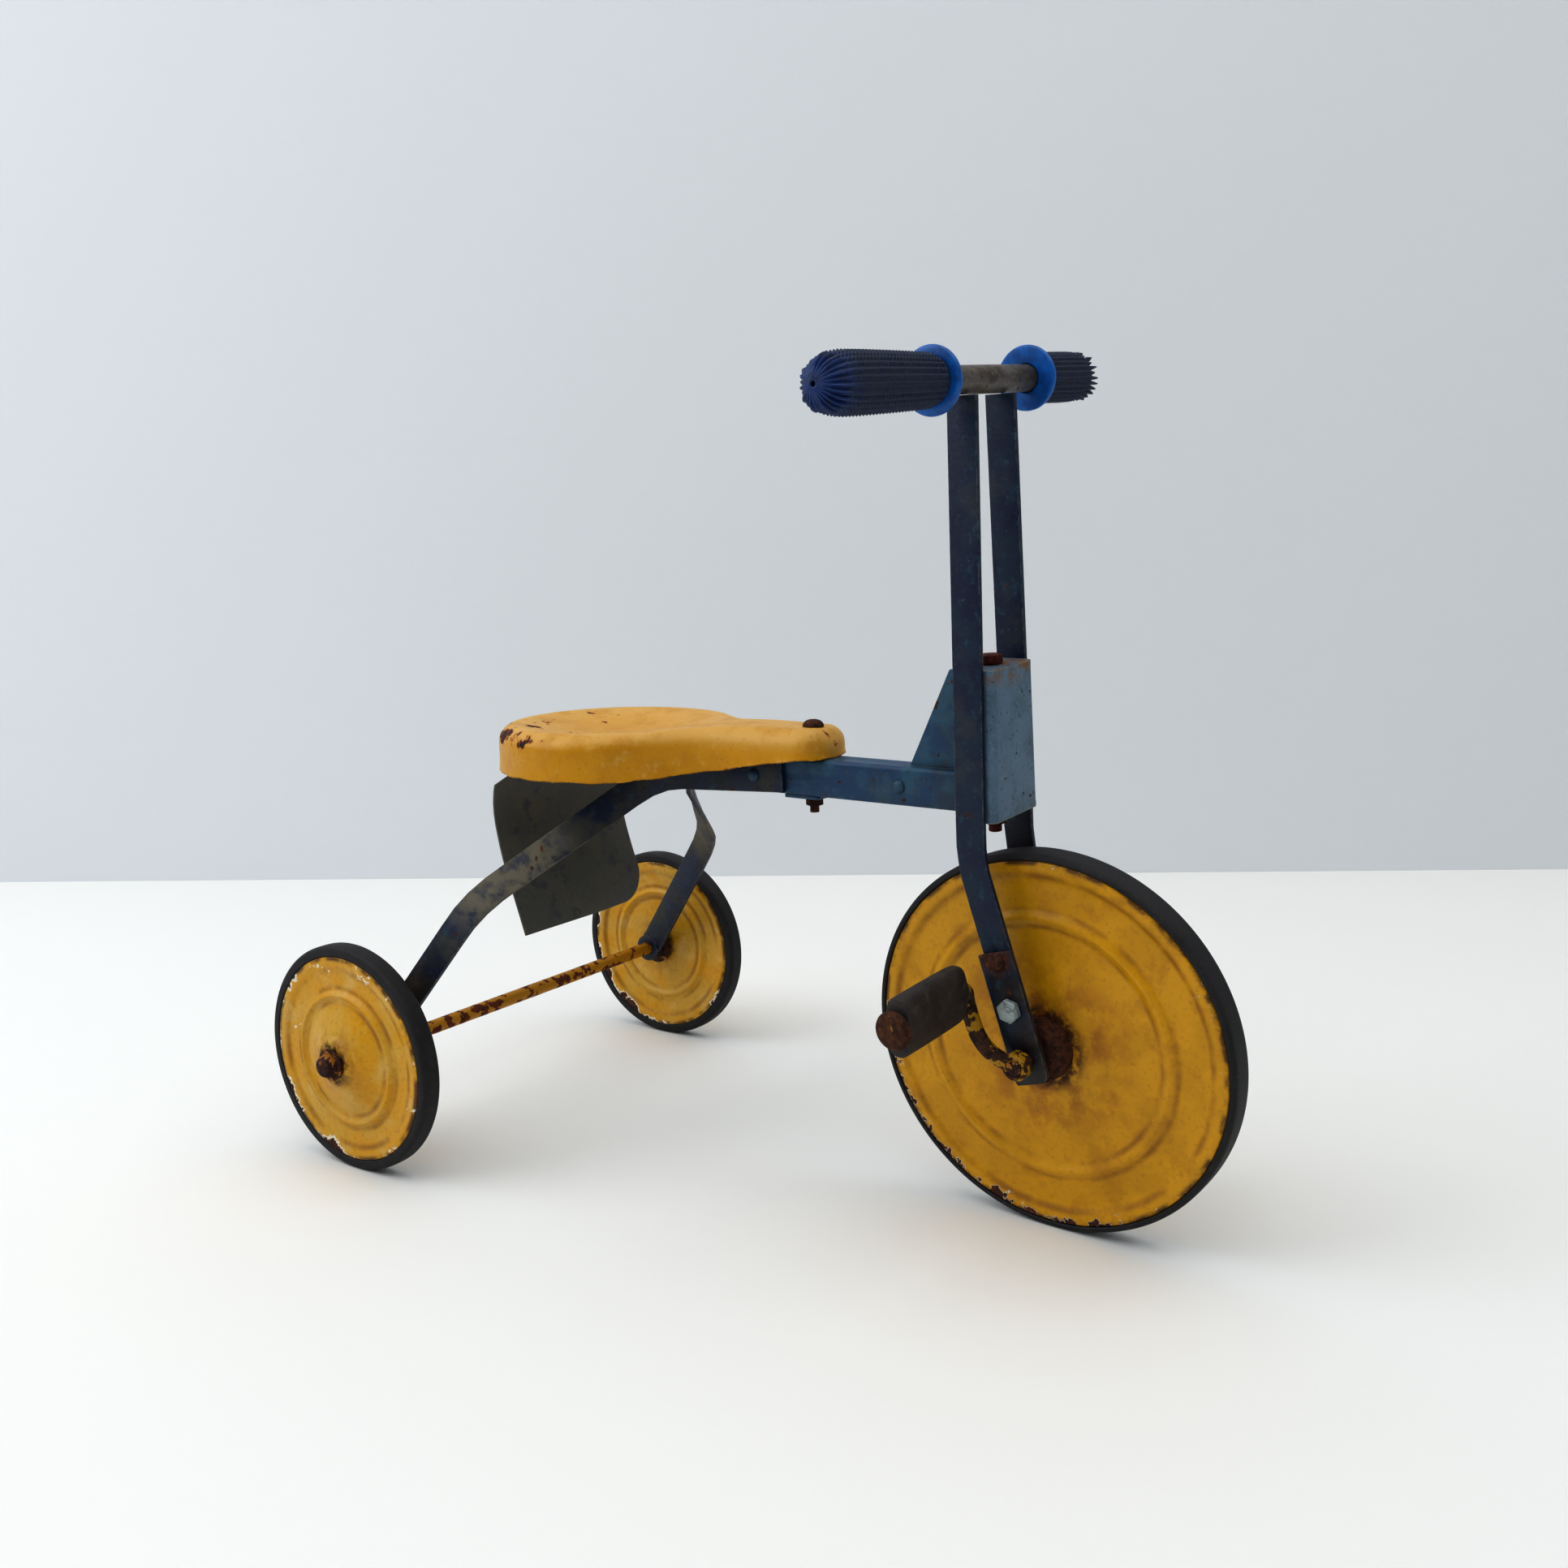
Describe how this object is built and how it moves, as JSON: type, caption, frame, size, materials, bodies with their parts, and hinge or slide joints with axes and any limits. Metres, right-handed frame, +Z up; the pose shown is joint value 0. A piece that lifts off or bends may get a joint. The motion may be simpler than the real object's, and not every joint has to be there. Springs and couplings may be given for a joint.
{
  "type": "child's tricycle",
  "caption": "Small vintage child's tricycle with a pedal-driven front wheel, a pressed steel saddle on a channel boom, strip steel stays and fork, disc wheels and ribbed grips.",
  "frame": {"origin": "on the floor, under the middle of the tricycle's bounding box", "axes": "+X forward along the boom, +Y to the rider's left, +Z up"},
  "size_m": [0.6398, 0.3916, 0.534],
  "materials": {
    "wheel_enamel": "ochre yellow enamel over white primer, grimy, chipped to rust at the rims",
    "seat_enamel": "warm yellow enamel, glossy, chipped to rust along the rim",
    "frame_enamel": "dark blue enamel, worn and dirty, with rust spots",
    "bracket_enamel": "faded grey-blue enamel",
    "apron_sheet": "matt black, scuffed",
    "rusted_steel": "bare steel, rusted brown",
    "zinc_plated_steel": "dull zinc plate",
    "bare_steel_tube": "worn, tarnished steel with traces of paint",
    "tyre_rubber": "aged solid rubber, satin",
    "pedal_rubber": "aged dirty rubber",
    "grip_vinyl": "soft blue vinyl, ribbed, dirty between the teeth; its flange is brighter and translucent"
  },
  "bodies": {
    "frame": {"boom": "frame_enamel", "apron": "apron_sheet", "rear_axle": "wheel_enamel", "gusset_rivet": "frame_enamel", "stay_rivet": "frame_enamel", "saddle": "seat_enamel", "saddle_bolt": "rusted_steel", "saddle_clamp": "frame_enamel", "saddle_nut": "rusted_steel", "head_tube": "frame_enamel", "head_gusset": "frame_enamel", "stay_right": "frame_enamel", "stay_left": "frame_enamel", "axle_washer_right": "rusted_steel", "axle_washer_left": "rusted_steel", "axle_nut_right": "rusted_steel", "axle_nut_left": "rusted_steel"},
    "fork": {"head_bracket": "bracket_enamel", "kingpin": "rusted_steel", "kingpin_nut": "rusted_steel", "handlebar": "bare_steel_tube", "fork_blade_right": "frame_enamel", "fork_blade_left": "frame_enamel", "fork_end_right": "frame_enamel", "fork_end_left": "frame_enamel", "fork_rivet_right": "rusted_steel", "fork_rivet_left": "rusted_steel", "fork_bolt_right": "zinc_plated_steel", "fork_bolt_left": "zinc_plated_steel", "fork_nut_right": "zinc_plated_steel", "fork_nut_left": "zinc_plated_steel", "grip_right": "grip_vinyl", "grip_left": "grip_vinyl"},
    "front_wheel": {"front_tyre": "tyre_rubber", "front_hub": "rusted_steel", "front_axle": "rusted_steel", "front_disc_right": "wheel_enamel", "front_disc_left": "wheel_enamel", "hub_cup_right": "rusted_steel", "hub_cup_left": "rusted_steel", "crank_right": "wheel_enamel", "crank_left": "wheel_enamel", "pedal_cap_right": "rusted_steel", "pedal_cap_left": "rusted_steel"},
    "pedal_right": {"pedal_sleeve_right": "rusted_steel", "pedal_block_right": "pedal_rubber"},
    "rear_wheel_right": {"rear_disc_outer_right": "wheel_enamel", "rear_disc_inner_right": "wheel_enamel", "rear_tyre_right": "tyre_rubber", "rear_hub_right": "rusted_steel"},
    "pedal_left": {"pedal_sleeve_left": "rusted_steel", "pedal_block_left": "pedal_rubber"},
    "rear_wheel_left": {"rear_disc_outer_left": "wheel_enamel", "rear_disc_inner_left": "wheel_enamel", "rear_tyre_left": "tyre_rubber", "rear_hub_left": "rusted_steel"}
  },
  "joints": [
    {"name": "steer", "type": "hinge", "parent": "frame", "child": "fork", "pos_m": [0.165, 0.015, 0], "axis": [0, -0.0698, 0.9976], "range_deg": [-32, 28]},
    {"name": "front_wheel_spin", "type": "hinge", "parent": "fork", "child": "front_wheel", "pos_m": [0.19995, 0.00476, 0.12018], "axis": [0.0523, 0.9962, 0.0697], "continuous": true},
    {"name": "pedal_right_spin", "type": "hinge", "parent": "front_wheel", "child": "pedal_right", "pos_m": [0.16265, -0.0792, 0.15741], "axis": [0.0523, 0.9962, 0.0697], "continuous": true},
    {"name": "pedal_left_spin", "type": "hinge", "parent": "front_wheel", "child": "pedal_left", "pos_m": [0.23725, 0.08872, 0.08295], "axis": [0.0523, 0.9962, 0.0697], "continuous": true},
    {"name": "rear_wheel_right_spin", "type": "hinge", "parent": "frame", "child": "rear_wheel_right", "pos_m": [-0.241, -0.167, 0.079], "axis": [0, 1, 0], "continuous": true},
    {"name": "rear_wheel_left_spin", "type": "hinge", "parent": "frame", "child": "rear_wheel_left", "pos_m": [-0.241, 0.167, 0.079], "axis": [0, 1, 0], "continuous": true}
  ]
}
